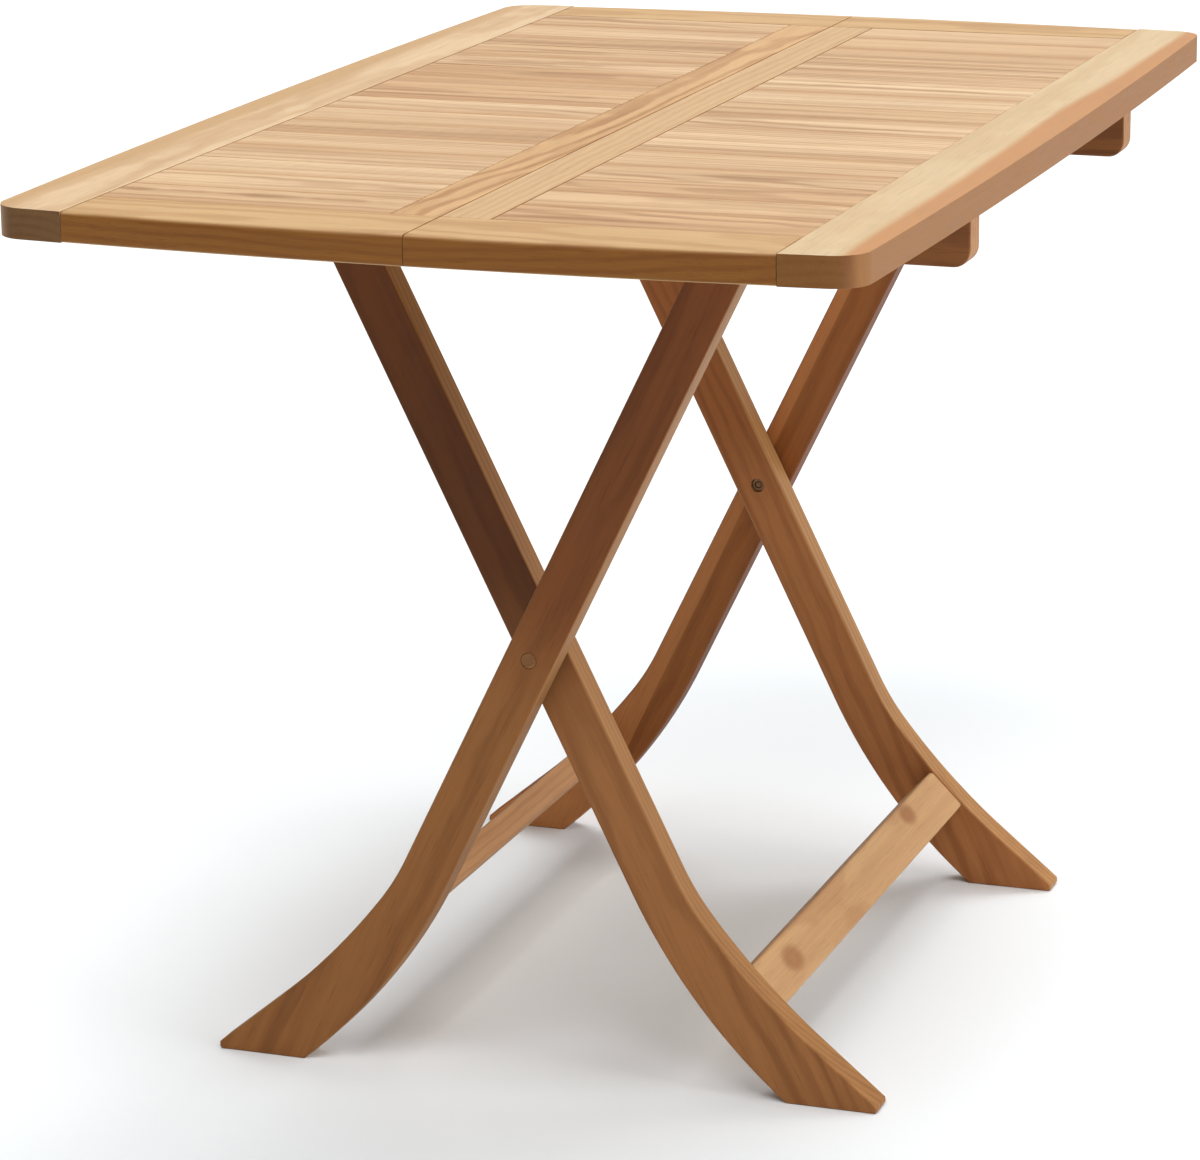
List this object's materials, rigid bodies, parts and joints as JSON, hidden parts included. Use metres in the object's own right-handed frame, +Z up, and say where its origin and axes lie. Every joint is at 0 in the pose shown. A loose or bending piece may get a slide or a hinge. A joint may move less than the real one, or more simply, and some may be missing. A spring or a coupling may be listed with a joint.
{
  "type": "folding slatted table",
  "caption": "Rectangular slatted teak table with bowed ends, on two crossed pairs of sabre legs that fold under the top.",
  "frame": {"origin": "middle of the footprint of the whole table, on the floor", "axes": "+Y along the length of the top, +X across it towards the side with the loose top bar, +Z up; the leg hinges are on the -X side"},
  "size_m": [0.7, 1.15, 0.755],
  "materials": {
    "bolt_plug_far": "fine sanded, unfinished teak",
    "bolt_plug_near": "fine sanded, unfinished teak",
    "far_batten": "fine sanded, unfinished teak",
    "far_rail_left": "fine sanded, unfinished teak",
    "far_rail_right": "fine sanded, unfinished teak",
    "hinge_bolt_far": "satin",
    "hinge_bolt_near": "satin",
    "inner_leg_far": "fine sanded, unfinished teak",
    "inner_leg_near": "fine sanded, unfinished teak",
    "inner_stretcher": "fine sanded, unfinished teak",
    "left_middle_stile": "fine sanded, unfinished teak",
    "left_outer_stile": "fine sanded, unfinished teak",
    "left_slat_01": "fine sanded, unfinished teak",
    "left_slat_02": "fine sanded, unfinished teak",
    "left_slat_03": "fine sanded, unfinished teak",
    "left_slat_04": "fine sanded, unfinished teak",
    "left_slat_05": "fine sanded, unfinished teak",
    "left_slat_06": "fine sanded, unfinished teak",
    "left_slat_07": "fine sanded, unfinished teak",
    "left_slat_08": "fine sanded, unfinished teak",
    "left_slat_09": "fine sanded, unfinished teak",
    "left_slat_10": "fine sanded, unfinished teak",
    "left_slat_11": "fine sanded, unfinished teak",
    "left_slat_12": "fine sanded, unfinished teak",
    "left_slat_13": "fine sanded, unfinished teak",
    "left_slat_14": "fine sanded, unfinished teak",
    "left_slat_15": "fine sanded, unfinished teak",
    "left_slat_16": "fine sanded, unfinished teak",
    "near_batten": "fine sanded, unfinished teak",
    "near_rail_left": "fine sanded, unfinished teak",
    "near_rail_right": "fine sanded, unfinished teak",
    "outer_leg_far": "fine sanded, unfinished teak",
    "outer_leg_near": "fine sanded, unfinished teak",
    "outer_stretcher": "fine sanded, unfinished teak",
    "right_middle_stile": "fine sanded, unfinished teak",
    "right_outer_stile": "fine sanded, unfinished teak",
    "right_slat_01": "fine sanded, unfinished teak",
    "right_slat_02": "fine sanded, unfinished teak",
    "right_slat_03": "fine sanded, unfinished teak",
    "right_slat_04": "fine sanded, unfinished teak",
    "right_slat_05": "fine sanded, unfinished teak",
    "right_slat_06": "fine sanded, unfinished teak",
    "right_slat_07": "fine sanded, unfinished teak",
    "right_slat_08": "fine sanded, unfinished teak",
    "right_slat_09": "fine sanded, unfinished teak",
    "right_slat_10": "fine sanded, unfinished teak",
    "right_slat_11": "fine sanded, unfinished teak",
    "right_slat_12": "fine sanded, unfinished teak",
    "right_slat_13": "fine sanded, unfinished teak",
    "right_slat_14": "fine sanded, unfinished teak",
    "right_slat_15": "fine sanded, unfinished teak",
    "right_slat_16": "fine sanded, unfinished teak",
    "scissor_bolt_far": "satin",
    "scissor_bolt_near": "satin",
    "scissor_nut_far": "satin",
    "scissor_nut_near": "satin",
    "scissor_washer_far": "satin",
    "scissor_washer_near": "satin",
    "top_bar": "fine sanded, unfinished teak"
  },
  "bodies": {
    "table_top": {"far_batten": "far_batten", "far_rail_left": "far_rail_left", "far_rail_right": "far_rail_right", "hinge_bolt_far": "hinge_bolt_far", "hinge_bolt_near": "hinge_bolt_near", "left_middle_stile": "left_middle_stile", "left_outer_stile": "left_outer_stile", "left_slat_01": "left_slat_01", "left_slat_02": "left_slat_02", "left_slat_03": "left_slat_03", "left_slat_04": "left_slat_04", "left_slat_05": "left_slat_05", "left_slat_06": "left_slat_06", "left_slat_07": "left_slat_07", "left_slat_08": "left_slat_08", "left_slat_09": "left_slat_09", "left_slat_10": "left_slat_10", "left_slat_11": "left_slat_11", "left_slat_12": "left_slat_12", "left_slat_13": "left_slat_13", "left_slat_14": "left_slat_14", "left_slat_15": "left_slat_15", "left_slat_16": "left_slat_16", "near_batten": "near_batten", "near_rail_left": "near_rail_left", "near_rail_right": "near_rail_right", "right_middle_stile": "right_middle_stile", "right_outer_stile": "right_outer_stile", "right_slat_01": "right_slat_01", "right_slat_02": "right_slat_02", "right_slat_03": "right_slat_03", "right_slat_04": "right_slat_04", "right_slat_05": "right_slat_05", "right_slat_06": "right_slat_06", "right_slat_07": "right_slat_07", "right_slat_08": "right_slat_08", "right_slat_09": "right_slat_09", "right_slat_10": "right_slat_10", "right_slat_11": "right_slat_11", "right_slat_12": "right_slat_12", "right_slat_13": "right_slat_13", "right_slat_14": "right_slat_14", "right_slat_15": "right_slat_15", "right_slat_16": "right_slat_16"},
    "inner_frame": {"inner_leg_far": "inner_leg_far", "inner_leg_near": "inner_leg_near", "inner_stretcher": "inner_stretcher"},
    "outer_frame": {"bolt_plug_far": "bolt_plug_far", "bolt_plug_near": "bolt_plug_near", "outer_leg_far": "outer_leg_far", "outer_leg_near": "outer_leg_near", "outer_stretcher": "outer_stretcher", "scissor_bolt_far": "scissor_bolt_far", "scissor_bolt_near": "scissor_bolt_near", "scissor_nut_far": "scissor_nut_far", "scissor_nut_near": "scissor_nut_near", "scissor_washer_far": "scissor_washer_far", "scissor_washer_near": "scissor_washer_near", "top_bar": "top_bar"}
  },
  "joints": [
    {"name": "leg_fold", "type": "hinge", "parent": "table_top", "child": "inner_frame", "pos_m": [-0.16888, 0, 0.708], "axis": [0, 1, 0], "range_deg": [0, 115]},
    {"name": "scissor_fold", "type": "hinge", "parent": "inner_frame", "child": "outer_frame", "pos_m": [0, 0, 0.364], "axis": [0, -1, 0], "range_deg": [0, 46.8]}
  ],
  "couplings": [
    {"joint": "scissor_fold", "follows": "leg_fold", "ratio": 0.4069}
  ]
}
